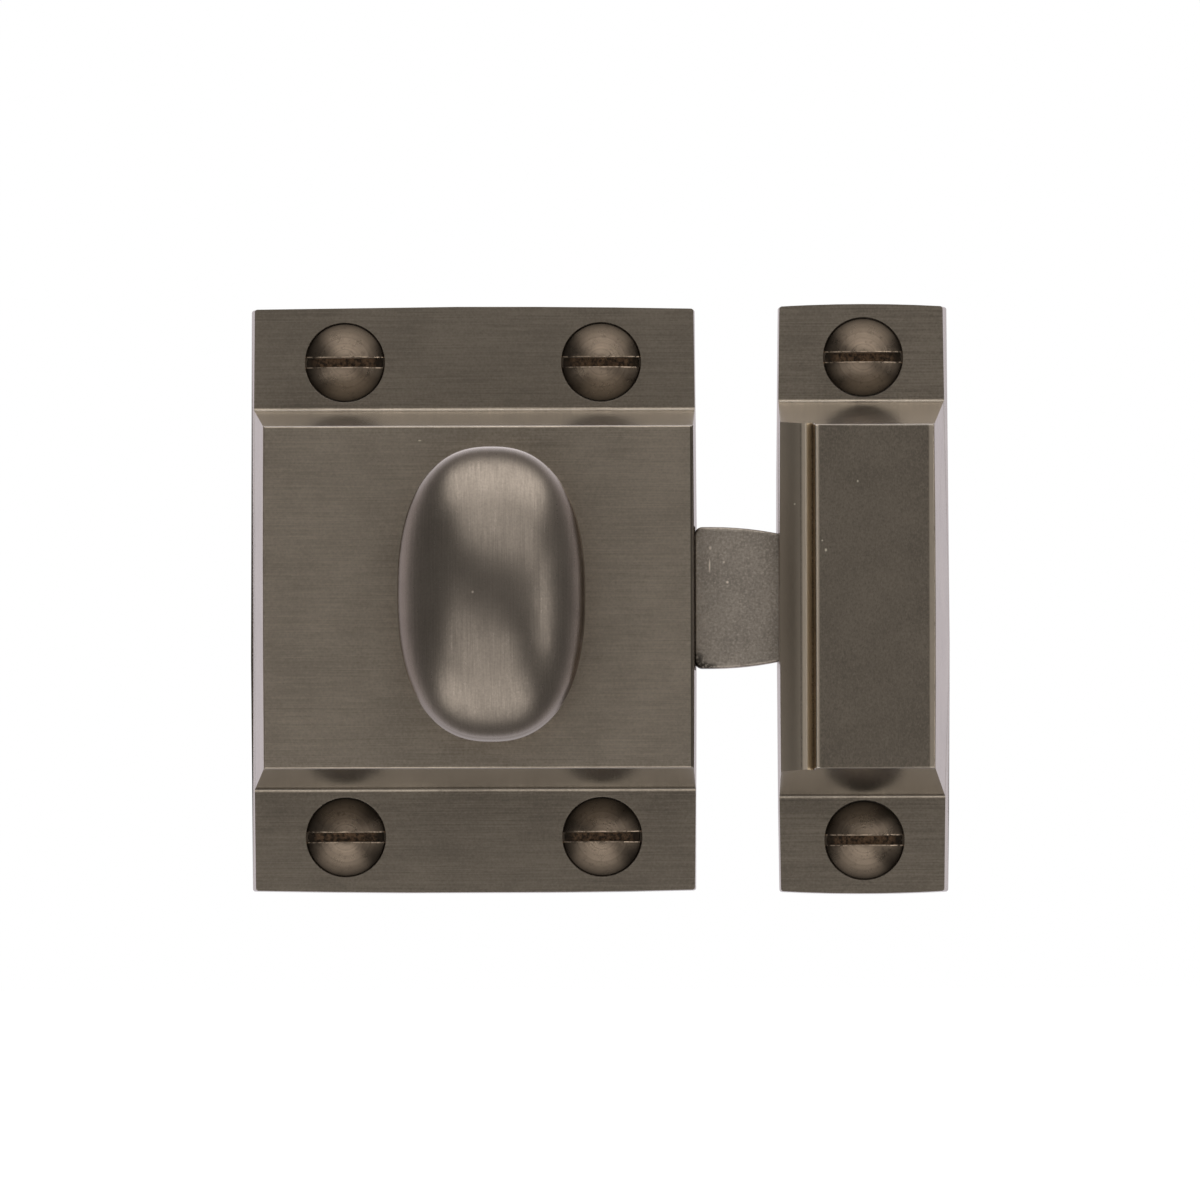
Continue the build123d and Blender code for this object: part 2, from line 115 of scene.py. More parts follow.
CASE_SCREW_PLACES = screw_places(CASE_SCREWS_LOW, CASE_SCREWS_HIGH)
KEEPER_SCREW_PLACES = screw_places(KEEPER_SCREWS_LOW, KEEPER_SCREWS_HIGH)


# Sizes and colours that a user would change

class CatchSizes(bpy.types.PropertyGroup):
    """Sizes of the rounded edges, the screws and the turn"""

    casting_edge: bpy.props.FloatProperty(
        name="Casting edge", description="Rounding of the castings' edges",
        default=0.16 * MM, unit="LENGTH")
    corner: bpy.props.FloatProperty(
        name="Corner", description="Rounding of the corners of the castings' outlines",
        default=0.22 * MM, unit="LENGTH")
    bolt_edge: bpy.props.FloatProperty(
        name="Bolt edge", description="Rounding of the bolt's edges",
        default=0.12 * MM, unit="LENGTH")
    knob_half_width: bpy.props.FloatProperty(
        name="Turn half width", description="Half the width of the oval turn",
        default=(KNOB_HIGH.x - KNOB_LOW.x) / 2, unit="LENGTH")
    knob_half_length: bpy.props.FloatProperty(
        name="Turn half length", description="Half the length of the oval turn",
        default=(KNOB_HIGH.z - KNOB_LOW.z) / 2, unit="LENGTH")
    knob_dome: bpy.props.FloatProperty(
        name="Turn dome", description="Height of the turn's dome above its widest section",
        default=4.9 * MM, unit="LENGTH")
    knob_lift: bpy.props.FloatProperty(
        name="Turn lift", description="How much further the dome draws in below than above",
        default=0.12 * MM, unit="LENGTH")
    knob_underside: bpy.props.FloatProperty(
        name="Turn underside", description="Depth of the turn's underside below its widest section",
        default=3.9 * MM, unit="LENGTH")
    neck_radius: bpy.props.FloatProperty(
        name="Neck radius", description="Radius of the turn's neck at its narrowest",
        default=3.9 * MM, unit="LENGTH")
    head_radius: bpy.props.FloatProperty(
        name="Screw head radius", description="Radius of the fixing screws' heads",
        default=3.28 * MM, unit="LENGTH")
    head_dome: bpy.props.FloatProperty(
        name="Screw dome", description="Height of the fixing screws' domed heads above their rims",
        default=1.0 * MM, unit="LENGTH")
    slot_width: bpy.props.FloatProperty(
        name="Slot width", description="Width of the slots in the fixing screws",
        default=0.8 * MM, unit="LENGTH")
    thread_pitch: bpy.props.FloatProperty(
        name="Thread pitch", description="Distance from one turn of the screw thread to the next",
        default=1.41 * MM, unit="LENGTH")


class CatchFinish(bpy.types.PropertyGroup):
    """Colours of the metals"""

    casting: bpy.props.FloatVectorProperty(
        name="Casting", description="Dark bronze of the case and the keeper",
        size=3, subtype="COLOR", min=0, max=1, default=(0.36, 0.302, 0.238))
    knob: bpy.props.FloatVectorProperty(
        name="Turn", description="Dark bronze of the turn",
        size=3, subtype="COLOR", min=0, max=1, default=(0.235, 0.198, 0.163))
    bolt: bpy.props.FloatVectorProperty(
        name="Bolt", description="Dull cast bronze of the bolt",
        size=3, subtype="COLOR", min=0, max=1, default=(0.345, 0.298, 0.25))
    screw: bpy.props.FloatVectorProperty(
        name="Screws", description="Coppery dark bronze of the fixing screws",
        size=3, subtype="COLOR", min=0, max=1, default=(0.31, 0.24, 0.178))
    inner: bpy.props.FloatVectorProperty(
        name="Inner brass", description="Plain brass of the pieces inside the case",
        size=3, subtype="COLOR", min=0, max=1, default=(0.52, 0.40, 0.20))
    wire: bpy.props.FloatVectorProperty(
        name="Spring wire", description="Steel of the bolt's spring",
        size=3, subtype="COLOR", min=0, max=1, default=(0.42, 0.42, 0.43))


def sizes():
    """The scene's sizes of the catch."""
    return bpy.context.scene.catch_sizes


def finish_colours():
    """The scene's colours of the catch."""
    return bpy.context.scene.catch_finish


# Small helpers for the operators

def clear_selection():
    """Leave edit mode and select nothing."""
    if bpy.context.object and bpy.context.object.mode != "OBJECT":
        bpy.ops.object.mode_set(mode="OBJECT")
    bpy.ops.object.select_all(action="DESELECT")


def pick(piece):
    """Make one object the only selected and active one."""
    clear_selection()
    piece.select_set(True)
    bpy.context.view_layer.objects.active = piece


def copy_of(node, name):
    """Merged copy of a solid's mesh, as an object of its own."""
    pick(NODES[node])
    bpy.ops.object.duplicate()
    piece = bpy.context.object
    piece.name = name
    piece.parent = None
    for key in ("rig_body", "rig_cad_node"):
        if key in piece:
            del piece[key]
    piece.data.materials.clear()
    pick(piece)
    bpy.ops.object.mode_set(mode="EDIT")
    bpy.ops.mesh.select_all(action="SELECT")
    bpy.ops.mesh.customdata_custom_splitnormals_clear()
    bpy.ops.mesh.remove_doubles(threshold=2e-7)
    bpy.ops.mesh.dissolve_limited(angle_limit=math.radians(0.6))
    bpy.ops.object.mode_set(mode="OBJECT")
    return piece


def choose(piece, test):
    """Select the vertices of a mesh whose places pass a test, and leave edit mode open."""
    pick(piece)
    bpy.ops.object.mode_set(mode="EDIT")
    bpy.ops.mesh.select_mode(type="VERT")
    bpy.ops.mesh.select_all(action="DESELECT")
    bpy.ops.object.mode_set(mode="OBJECT")
    for vertex in piece.data.vertices:
        vertex.select = test(vertex.co / MM)
    bpy.ops.object.mode_set(mode="EDIT")


def shift_points(piece, test, move):
    """Move the vertices of a mesh that pass a test, by X, Y and Z in millimetres."""
    choose(piece, test)
    bpy.ops.transform.translate(value=[c * MM for c in move])
    bpy.ops.object.mode_set(mode="OBJECT")


def refit_casting(piece, places, foot, shift, cove):
    """Move the coved feet of the steps out and scale the coves, and tighten the screws' mouths."""
    cove_top, cove_middle, cove_foot = -3.98, -3.2, -3.15
    cove_reach, slack = 1.0, 0.05
    for side in (1, -1):
        choose(piece, lambda p: cove_top < p.y < cove_foot
               and foot - cove_reach < side * p.z < foot + slack)
        bpy.ops.transform.resize(
            value=(1, cove, cove), center_override=(0, cove_middle * MM, side * foot * MM))
        bpy.ops.transform.translate(value=(0, 0, side * shift * MM))
        bpy.ops.object.mode_set(mode="OBJECT")
    mouth_inside, mouth_outside, tightening = 3.4, 3.7, 0.955
    for x, z in places:
        middle = Vector((x, 0, z)) / MM
        choose(piece, lambda p: p.y < FLANGE_FRONT
               and mouth_inside < math.hypot(p.x - middle.x, p.z - middle.z) < mouth_outside)
        bpy.ops.transform.resize(value=(tightening, 1, tightening), center_override=(x, 0, z))
        bpy.ops.object.mode_set(mode="OBJECT")


def round_corners(piece, radius):
    """Round the corners of a casting's outline, which run along Y."""
    pick(piece)
    reach = max(v.co.z for v in piece.data.vertices)
    sides = [extreme(v.co.x for v in piece.data.vertices) for extreme in (min, max)]
    end_slack, side_slack, least_depth = 0.6 * MM, 0.8 * MM, 2 * MM
    bpy.ops.object.mode_set(mode="EDIT")
    bpy.ops.mesh.select_mode(type="EDGE")
    bpy.ops.mesh.select_all(action="DESELECT")
    bpy.ops.object.mode_set(mode="OBJECT")
    for edge in piece.data.edges:
        ends = [piece.data.vertices[v].co for v in edge.vertices]
        at_end = all(abs(p.z) > reach - end_slack for p in ends)
        at_side = any(all(abs(p.x - side) < side_slack for p in ends) for side in sides)
        edge.select = at_end and at_side and abs(ends[0].y - ends[1].y) > least_depth
    bpy.ops.object.mode_set(mode="EDIT")
    bpy.ops.mesh.bevel(offset=radius, segments=4, profile=0.5)
    bpy.ops.object.mode_set(mode="OBJECT")


def soften_edges(piece, width, segments=3, angle=32):
    """Round every edge that turns by more than an angle."""
    pick(piece)
    bevel = piece.modifiers.new("Soft edges", "BEVEL")
    bevel.width = width
    bevel.segments = segments
    bevel.limit_method = "ANGLE"
    bevel.angle_limit = math.radians(angle)
    bevel.use_clamp_overlap = True
    bevel.miter_outer = "MITER_ARC"
    bpy.ops.object.modifier_apply(modifier=bevel.name)
    bpy.ops.object.shade_smooth_by_angle(angle=math.radians(40))
    flats = piece.modifiers.new("Flat faces", "WEIGHTED_NORMAL")
    flats.mode = "FACE_AREA"
    flats.weight = 100
    flats.keep_sharp = True
    bpy.ops.object.modifier_apply(modifier=flats.name)


def draw_line(name, points):
    """Line through points, drawn vertex by vertex and left open in edit mode."""
    clear_selection()
    bpy.ops.mesh.primitive_plane_add(size=MM, location=(0, 0, 0))
    piece = bpy.context.object
    piece.name = name
    bpy.ops.object.mode_set(mode="EDIT")
    bpy.ops.mesh.select_mode(type="VERT")
    bpy.ops.mesh.select_all(action="SELECT")
    bpy.ops.mesh.merge(type="CENTER")
    bpy.ops.transform.translate(value=points[0])
    for start, end in zip(points, points[1:]):
        step = Vector(end) - Vector(start)
        bpy.ops.mesh.extrude_vertices_move(TRANSFORM_OT_translate={"value": step})
    return piece


def choose_edges(piece, levels, slack):
    """Select the edges that lie at one of some levels of Y, from edit mode, and leave it open."""
    bpy.ops.mesh.select_all(action="DESELECT")
    bpy.ops.object.mode_set(mode="OBJECT")
    for edge in piece.data.edges:
        ends = [piece.data.vertices[v].co.y for v in edge.vertices]
        edge.select = any(all(abs(y - level) < slack for y in ends) for level in levels)
    bpy.ops.object.mode_set(mode="EDIT")


def tidy_mesh(piece, angle):
    """Merge doubles, point the faces outwards and shade by angle."""
    pick(piece)
    bpy.ops.object.mode_set(mode="EDIT")
    bpy.ops.mesh.select_all(action="SELECT")
    bpy.ops.mesh.remove_doubles(threshold=1e-6)
    bpy.ops.mesh.normals_make_consistent(inside=False)
    bpy.ops.object.mode_set(mode="OBJECT")
    bpy.ops.object.shade_smooth_by_angle(angle=math.radians(angle))


def dress(piece, material, body, slot, *nodes):
    """Give a piece its material and body, and hide the solids that it stands for; slot is not used."""
    piece.data.materials.clear()
    piece.data.materials.append(material)
    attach(piece, body)
    if nodes:
        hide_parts(*nodes)


# Materials

def node_at(tree, kind, **values):
    """New node with some of its inputs or settings given."""
    node = tree.nodes.new(kind)
    for key, value in values.items():
        if key in node.inputs:
            node.inputs[key].default_value = value
        else:
            setattr(node, key, value)
    return node


def plug(tree, socket, value):
    """Link an output into a socket, or write a number or a colour there."""
    if isinstance(value, bpy.types.NodeSocket):
        tree.links.new(value, socket)
    elif isinstance(value, (int, float)):
        socket.default_value = value
    else:
        socket.default_value = (*value, 1)


def noise(tree, vector, scale, detail, roughness):
    """Noise between none and one at a place."""
    node = node_at(tree, "ShaderNodeTexNoise")
    node.inputs["Scale"].default_value = scale
    node.inputs["Detail"].default_value = detail
    node.inputs["Roughness"].default_value = roughness
    tree.links.new(vector, node.inputs["Vector"])
    return node.outputs["Fac"]


def stretched(tree, vector, stretch):
    """A place scaled along X, Y and Z."""
    node = node_at(tree, "ShaderNodeMapping")
    node.inputs["Scale"].default_value = stretch
    tree.links.new(vector, node.inputs["Vector"])
    return node.outputs["Vector"]


def spread(tree, value, low, high, to_low, to_high):
    """A value brought from one range to another and held within it."""
    node = node_at(tree, "ShaderNodeMapRange")
    node.inputs["From Min"].default_value = low
    node.inputs["From Max"].default_value = high
    node.inputs["To Min"].default_value = to_low
    node.inputs["To Max"].default_value = to_high
    tree.links.new(value, node.inputs["Value"])
    return node.outputs["Result"]


def mixed(tree, factor, first, second, blend="MIX"):
    """Mix of two colours."""
    node = node_at(tree, "ShaderNodeMix", data_type="RGBA", blend_type=blend)
    for socket, value in ((node.inputs[0], factor), (node.inputs[6], first), (node.inputs[7], second)):
        plug(tree, socket, value)
    return node.outputs[2]


def mixed_values(tree, factor, first, second):
    """Mix of two values."""
    node = node_at(tree, "ShaderNodeMix", data_type="FLOAT")
    for socket, value in ((node.inputs[0], factor), (node.inputs[2], first), (node.inputs[3], second)):
        plug(tree, socket, value)
    return node.outputs[0]


def bumped(tree, height, strength, distance):
    """Normal of a surface with a relief."""
    node = node_at(tree, "ShaderNodeBump")
    node.inputs["Strength"].default_value = strength
    node.inputs["Distance"].default_value = distance
    tree.links.new(height, node.inputs["Height"])
    return node.outputs["Normal"]


def scaled(colour, share):
    """A colour made darker or brighter, to one at most."""
    return [min(1, c * share) for c in colour]


def bare_metal(name):
    """New metal material, with its node tree and shader."""
    material = bpy.data.materials.new(name)
    material.use_nodes = True
    tree = material.node_tree
    shader = tree.nodes["Principled BSDF"]
    shader.inputs["Metallic"].default_value = 1.0
    return material, tree, shader


def satin_metal(name, colour, roughness, mottle=0.1):
    """Metal shader with cloudy patches, and its node tree for more to be added."""
    material, tree, shader = bare_metal(name)
    place = node_at(tree, "ShaderNodeTexCoord").outputs["Object"]
    cloud = spread(tree, noise(tree, place, 220, 4.0, 0.6), 0.32, 0.68, 0, 1)
    tone = mixed(tree, cloud, scaled(colour, 1 - mottle), scaled(colour, 1 + mottle))
    tree.links.new(tone, shader.inputs["Base Color"])
    shader.inputs["Roughness"].default_value = roughness
    return material, tree, shader, place, tone


def combined(tree, operation, first, second=0.0):
    """Result of an operation on one or two values."""
    node = node_at(tree, "ShaderNodeMath", operation=operation)
    for socket, value in zip(node.inputs, (first, second)):
        plug(tree, socket, value)
    return node.outputs[0]


def product(tree, first, second):
    """Two values multiplied."""
    return combined(tree, "MULTIPLY", first, second)


def parts_of(tree, vector):
    """X, Y and Z of a vector."""
    node = tree.nodes.new("ShaderNodeSeparateXYZ")
    tree.links.new(vector, node.inputs["Vector"])
    return node.outputs


def brushed_lines(tree, place, fine, broad):
    """Streaks of two widths that run along one way, with a short grain."""
    thin = noise(tree, stretched(tree, place, fine), 1.0, 4.0, 0.65)
    wide = noise(tree, stretched(tree, place, broad), 1.0, 3.0, 0.6)
    grain = noise(tree, place, 5200, 2.0, 0.6)
    lines = combined(tree, "ADD", product(tree, thin, 0.47), product(tree, wide, 0.2))
    return combined(tree, "ADD", lines, product(tree, grain, 0.33))


def near(tree, place, centre, stretch, radius):
    """One at a point, fading to none at a radius in millimetres."""
    node = node_at(tree, "ShaderNodeMapping", vector_type="POINT")
    node.inputs["Scale"].default_value = [f / MM for f in stretch]
    node.inputs["Location"].default_value = [-f * c for f, c in zip(stretch, centre)]
    tree.links.new(place, node.inputs["Vector"])
    length = node_at(tree, "ShaderNodeVectorMath", operation="LENGTH")
    tree.links.new(node.outputs["Vector"], length.inputs[0])
    return spread(tree, length.outputs["Value"], radius * 0.4, radius, 1, 0)


def band(tree, value, start, end, soft):
    """One between two places in millimetres, fading to none on either side."""
    rise = spread(tree, value, (start - soft) * MM, start * MM, 0, 1)
    fall = spread(tree, value, end * MM, (end + soft) * MM, 1, 0)
    return product(tree, rise, fall)


def front_share(tree, low, high):
    """None where the surface is seen edge on from the front, and one where it faces front or back."""
    facing = node_at(tree, "ShaderNodeTexCoord").outputs["Normal"]
    return spread(tree, combined(tree, "ABSOLUTE", parts_of(tree, facing)["Y"]), low, high, 0, 1)


def looks_forward(tree):
    """One where the surface looks to the front, and none on the back and inside."""
    facing = node_at(tree, "ShaderNodeTexCoord").outputs["Normal"]
    return spread(tree, parts_of(tree, facing)["Y"], -0.3, -0.1, 1, 0)


def nicked(tree, place, tone, light, nicks):
    """Light nicks on the front, each given as X, Z, stretch across, stretch up and radius."""
    front = product(tree, looks_forward(tree), 0.85)
    for x, z, across, up, radius in nicks:
        mark = near(tree, place, (x, 0, z), (across, 0, up), radius)
        tone = mixed(tree, product(tree, mark, front), tone, light)
    return tone


def brushed_bronze(name, colour, roughness, flange, face, tones, contrast, sides, bands=(), nicks=()):
    """Cast bronze brushed along the flanges and, in its own way, over the raised face.

    tones holds the tone of the flanges and of the face, sides the range of the normal's Y over
    which a side turns into the brushed front, and bands hold start, end and softness along X of painted
    highlights and painted shade.
    """
    material, tree, shader, place, tone = satin_metal(name, colour, roughness)
    step = -6.0 * MM
    raised = spread(tree, parts_of(tree, place)["Y"], step - 0.5 * MM, step + 0.5 * MM, 1, 0)
    lines = brushed_lines(tree, place, *flange)
    if face is not flange:
        lines = mixed_values(tree, raised, lines, brushed_lines(tree, place, *face))
    streaks = mixed(tree, spread(tree, lines, 0.38, 0.50, contrast, 0), tone, scaled(colour, 0.62))
    streaks = mixed(tree, spread(tree, lines, 0.50, 0.62, 0, contrast), streaks, scaled(colour, 1.45))
    shade = mixed(tree, raised, [tones[0]] * 3, [tones[1]] * 3)
    streaks = mixed(tree, 1.0, streaks, shade, "MULTIPLY")
    # upright bands of another tone on the raised face: painted highlights and painted shade along its
    # edges and groove
    ahead = product(tree, looks_forward(tree), raised)
    for start, end, soft, other in bands:
        painted_band = band(tree, parts_of(tree, place)["X"], start, end, soft)
        streaks = mixed(tree, product(tree, painted_band, ahead), streaks, other)
    streaks = nicked(tree, place, streaks, scaled(colour, 3), nicks)
    grain = spread(tree, lines, 0.35, 0.65, roughness + 0.05, roughness - 0.05)
    # the sides are cleaner than the brushed front, and the steps get a painted sheen, paler on the
    # upper ones that face the lamps above
    front = front_share(tree, *sides)
    lean = parts_of(tree, node_at(tree, "ShaderNodeTexCoord").outputs["Normal"])["Z"]
    lower, upper = (0.39, 0.365, 0.33), (0.74, 0.70, 0.64)
    pale = mixed(tree, spread(tree, lean, -0.5, 0.5, 0, 1), lower, upper)
    steps = spread(tree, combined(tree, "ABSOLUTE", lean), 0.3, 0.9, 0, 1)
    streaks = mixed(tree, front, mixed(tree, steps, tone, pale), streaks)
    side_roughness = 0.24
    tree.links.new(streaks, shader.inputs["Base Color"])
    tree.links.new(mixed_values(tree, front, side_roughness, grain), shader.inputs["Roughness"])
    tree.links.new(bumped(tree, lines, 0.6, 0.02 * MM), shader.inputs["Normal"])
    return material


def cast_bronze(name, colour, roughness, rear, foot):
    """Dull cast bronze with mottling, pits, and dark marks in the corners where it leaves the case,
    partly deposit and partly painted shade.
    """
    material, tree, shader, place, tone = satin_metal(name, colour, roughness, 0.14)
    grain = noise(tree, place, 4600, 4.0, 0.7)
    patch = noise(tree, place, 1100, 4.0, 0.65)
    stained = mixed(tree, spread(tree, patch, 0.50, 0.66, 0, 0.5), tone, scaled(colour, 0.6))
    pitted = mixed(tree, spread(tree, grain, 0.36, 0.48, 0.6, 0), stained, scaled(colour, 0.6))
    speckled = mixed(tree, spread(tree, grain, 0.52, 0.64, 0, 0.6), pitted, scaled(colour, 1.6))
    crumbs = spread(tree, noise(tree, place, 3400, 4.0, 0.7), 0.36, 0.50, 0, 1)
    # dark marks at the corners by the case: painted shade of the slot at both, with deposit at the
    # lower corner
    residue_and_shade = (
        ((rear + 0.25, 0, foot + 0.35), (1, 0, 0.7), 1.15),
        ((rear + 1.1, 0, foot + 0.05), (0.6, 0, 1.6), 0.9),
        ((rear + 0.2, 0, -foot - 0.15), (1, 0, 1), 0.62),
    )
    for centre, stretch, radius in residue_and_shade:
        mark = product(tree, near(tree, place, centre, stretch, radius), crumbs)
        speckled = mixed(tree, product(tree, mark, 0.9), speckled, scaled(colour, 0.12))
    nicks = (
        (rear + 1.55, 4.2, 1, 0.8, 0.15),
        (rear + 1.5, 2.7, 3.2, 0.42, 0.3),
        (rear + 2.7, 3.0, 1, 1, 0.13),
        (rear + 3.0, 1.3, 1, 1, 0.15),
    )
    speckled = nicked(tree, place, speckled, scaled(colour, 2.4), nicks)
    gloss = spread(tree, patch, 0.3, 0.7, roughness - 0.05, roughness + 0.08)
    tree.links.new(speckled, shader.inputs["Base Color"])
    tree.links.new(gloss, shader.inputs["Roughness"])
    tree.links.new(bumped(tree, grain, 0.5, 0.02 * MM), shader.inputs["Normal"])
    return material


def plain_metal(name, colour, roughness, scale=900):
    """Clean metal with faint clouding and a fine grain, for the pieces inside the case."""
    material, tree, shader, place, _ = satin_metal(name, colour, roughness, 0.07)
    grain = noise(tree, place, scale, 3.0, 0.6)
    gloss = spread(tree, grain, 0.3, 0.7, roughness - 0.05, roughness + 0.07)
    tree.links.new(gloss, shader.inputs["Roughness"])
    tree.links.new(bumped(tree, grain, 0.25, 0.02 * MM), shader.inputs["Normal"])
    return material


def turned_bronze(name, colour, roughness, radius, slot_width):
    """Turned screw: rings round the middle of its UV map, a dark rim and a coppery slot."""
    material, tree, shader = bare_metal(name)
    flat = node_at(tree, "ShaderNodeUVMap", uv_map="face_map").outputs["UV"]
    length = node_at(tree, "ShaderNodeVectorMath", operation="LENGTH")
    tree.links.new(flat, length.inputs[0])
    away = length.outputs["Value"]
    combine = node_at(tree, "ShaderNodeCombineXYZ")
    tree.links.new(away, combine.inputs["X"])
    place = node_at(tree, "ShaderNodeTexCoord").outputs["Object"]
    rings = noise(tree, combine.outputs["Vector"], 5.2, 4.0, 0.75)
    cloud = noise(tree, place, 900, 4.0, 0.65)
    grime = noise(tree, place, 2600, 4.0, 0.7)
    tone = mixed(tree, spread(tree, cloud, 0.35, 0.65, 0, 1), colour, scaled(colour, 1.25))
    ringed = mixed(tree, spread(tree, rings, 0.42, 0.66, 0, 0.55), tone, scaled(colour, 0.5))
    patina = scaled(colour, 0.1)
    to_rim = spread(tree, away, 0.22 * radius, 0.98 * radius, 0, 0.97)
    rimmed = mixed(tree, to_rim, ringed, patina)
    spotted = mixed(tree, spread(tree, grime, 0.55, 0.75, 0, 0.6), rimmed, patina)
    # the slot's floor is bare copper, with a light burr along its edges
    behind_head = -2.6 * MM
    at_head = spread(tree, parts_of(tree, place)["Y"], behind_head - 0.1 * MM, behind_head, 1, 0)
    beside = combined(tree, "ABSOLUTE", parts_of(tree, flat)["Y"])
    half = slot_width / 2
    near_slot = product(tree, spread(tree, beside, half + 0.05, half + 0.12, 1, 0), at_head)
    burr = product(tree, spread(tree, beside, half, half + 0.02, 0, 1), near_slot)
    ragged = spread(tree, noise(tree, place, 1900, 4.0, 0.7), 0.44, 0.56, 0, 0.8)
    burred = mixed(tree, product(tree, burr, ragged), spotted, scaled(colour, 2.6))
    rough = spread(tree, noise(tree, place, 3200, 3.0, 0.7), 0.42, 0.60, 0, 1)
    copper, tarnish = (0.20, 0.125, 0.075), (0.05, 0.036, 0.026)
    along = combined(tree, "ABSOLUTE", parts_of(tree, flat)["X"])
    to_end = spread(tree, along, 0.68 * radius, 0.85 * radius, 0, 0.9)
    floor = mixed(tree, to_end, mixed(tree, rough, copper, tarnish), patina)
    in_slot = product(tree, spread(tree, beside, half - 0.06, half - 0.02, 1, 0), at_head)
    gloss = spread(tree, cloud, 0.3, 0.7, roughness - 0.05, roughness + 0.08)
    tree.links.new(mixed(tree, in_slot, burred, floor), shader.inputs["Base Color"])
    tree.links.new(gloss, shader.inputs["Roughness"])
    tree.links.new(bumped(tree, rings, 0.8, 0.03 * MM), shader.inputs["Normal"])
    return material


# Pieces

class CATCH_OT_case(bpy.types.Operator):
    """Case casting with rounded edges"""

    bl_idname = "catch.case"
    bl_label = "Case casting"

    def execute(self, context):
        piece = copy_of("case", "case_casting")
        refit_casting(piece, CASE_SCREW_PLACES, CASE_STEP_FOOT, shift=0.42, cove=0.5)
        # the right edge of the raised face stands a little further out than in the solid
        shift_points(piece, lambda p: p.y < -12.5 and p.x > 17.9, (0.15, 0, 0))
        round_corners(piece, sizes().corner)
        soften_edges(piece, sizes().casting_edge)
        tone = finish_colours().casting
        # painted shade along the raised face's right edge, where the bolt comes out of the case
        painted_edge_shade = (18.42, 18.8, 0.06, scaled(tone, 0.3))
        nicks = ((-15.7, 15.05, 0.5, 1, 0.12), (-4.4, 13.2, 0.4, 1, 0.07))
        # the flanges' darker tone than the face is partly painted shade of their recess below the
        # raised face
        metal = brushed_bronze(
            "brushed_bronze_case", tone, 0.33, ACROSS, ACROSS,
            tones=(0.75, 1.0), contrast=0.7, sides=(0.6, 0.92), bands=(painted_edge_shade,), nicks=nicks)
        dress(piece, metal, "case", "bronze_casting", "case")
        return {"FINISHED"}


def refit_groove(piece):
    """Widen the keeper's lip and face, narrow its groove and turn the outer edge up into a bead."""
    lip_left, face_right = (25.2, 26.4), (37.9, 39.0)
    for (low, high), shift in ((lip_left, -0.2), (face_right, 0.14)):
        shift_points(piece, lambda p: p.y < -8 and low < p.x < high, (shift, 0, 0))
    front, face = -11.9, -12.97
    edge, shift = KEEPER_GROOVE, 0.15
    choose(piece, lambda p: p.y < front and edge - 0.05 < p.x < edge + 1.4)
    bpy.ops.transform.resize(value=(0.5, 1, 1), center_override=(edge * MM, 0, 0))
    bpy.ops.transform.translate(value=(shift * MM, 0, 0))
    bpy.ops.object.mode_set(mode="OBJECT")
    edge += shift
    choose(piece, lambda p: p.y < face and p.x > edge)
    bpy.ops.mesh.bisect(plane_co=((edge + 0.95) * MM, 0, 0), plane_no=(1, 0, 0))
    bpy.ops.object.mode_set(mode="OBJECT")
    # start and end past the edge, front and rear, and the move: bead, groove's floor and crest
    moves = (
        (0.4, 0.7, -14, -12.9, -0.15),
        (0.1, 0.5, -12.15, front, -0.22),
        (-0.05, 0.05, -12.4, -12.2, -0.09),
    )
    for start, end, ahead, behind, shift in moves:
        shift_points(
            piece, lambda p: ahead < p.y < behind and edge + start < p.x < edge + end, (0, shift, 0))


class CATCH_OT_keeper(bpy.types.Operator):
    """Keeper casting with rounded edges"""

    bl_idname = "catch.keeper"
    bl_label = "Keeper casting"

    def execute(self, context):
        piece = copy_of("keeper", "keeper_casting")
        refit_casting(piece, KEEPER_SCREW_PLACES, KEEPER_STEP_FOOT, shift=0.2, cove=0.45)
        refit_groove(piece)
        round_corners(piece, sizes().corner)
        soften_edges(piece, sizes().casting_edge)
        tone = finish_colours().casting
        # painted light and shade in upright bands: the lip's tone, a painted glow and a painted shadow
        # along the lip's edge, painted highlights on the crest, the bead and the face's far edge, and
        # painted light in the shaded groove
        bands = (
            (25.5, 27.6, 0.1, scaled(tone, 0.95)),
            (25.5, 26.1, 0.8, scaled(tone, 1.2)),
            (25.5, 25.92, 0.05, scaled(tone, 0.35)),
            (27.88, 28.16, 0.16, scaled(tone, 1.7)),
            (28.25, 28.63, 0.06, (0.62, 0.48, 0.31)),
            (28.8, 29.14, 0.16, scaled(tone, 1.5)),
            (38.58, 38.9, 0.12, scaled(tone, 1.4)),
        )
        nicks = (
            (27.2, 7.8, 1, 1, 0.1),
            (32.5, 9.7, 0.9, 0.6, 0.08),
            (29.8, 3.9, 1, 0.7, 0.12),
            (29.5, 4.7, 1, 1, 0.09),
        )
        metal = brushed_bronze(
            "brushed_bronze_keeper", tone, 0.33, ACROSS, GRAINY,
            tones=(0.76, 0.66), contrast=0.8, sides=(0.6, 0.92), bands=bands, nicks=nicks)
        dress(piece, metal, "keeper", "bronze_casting", "keeper")
        return {"FINISHED"}


class CATCH_OT_bolt(bpy.types.Operator):
    """Bolt with rounded edges"""

    bl_idname = "catch.bolt"
    bl_label = "Bolt"

    def execute(self, context):
        piece = copy_of("bolt", "sprung_bolt")
        soften_edges(piece, sizes().bolt_edge)
        rear, foot = CASE_HIGH.x / MM - 0.5, -5.98
        metal = cast_bronze("cast_bronze_bolt", finish_colours().bolt, 0.42, rear, foot)
        dress(piece, metal, "bolt", "bronze_bolt", "bolt")
        return {"FINISHED"}


def oval_outline(centre, level, half_width, half_length, count):
    """Closed outline of the turn, a little squarer than an ellipse."""
    power = 2 / OVAL_POWER
    outline = []
    for step in range(count + 1):
        angle = 2 * math.pi * step / count
        x = math.copysign(abs(math.cos(angle)) ** power, math.cos(angle))
        z = math.copysign(abs(math.sin(angle)) ** power, math.sin(angle))
        outline.append((centre + half_width * x, level, half_length * z))
    return outline


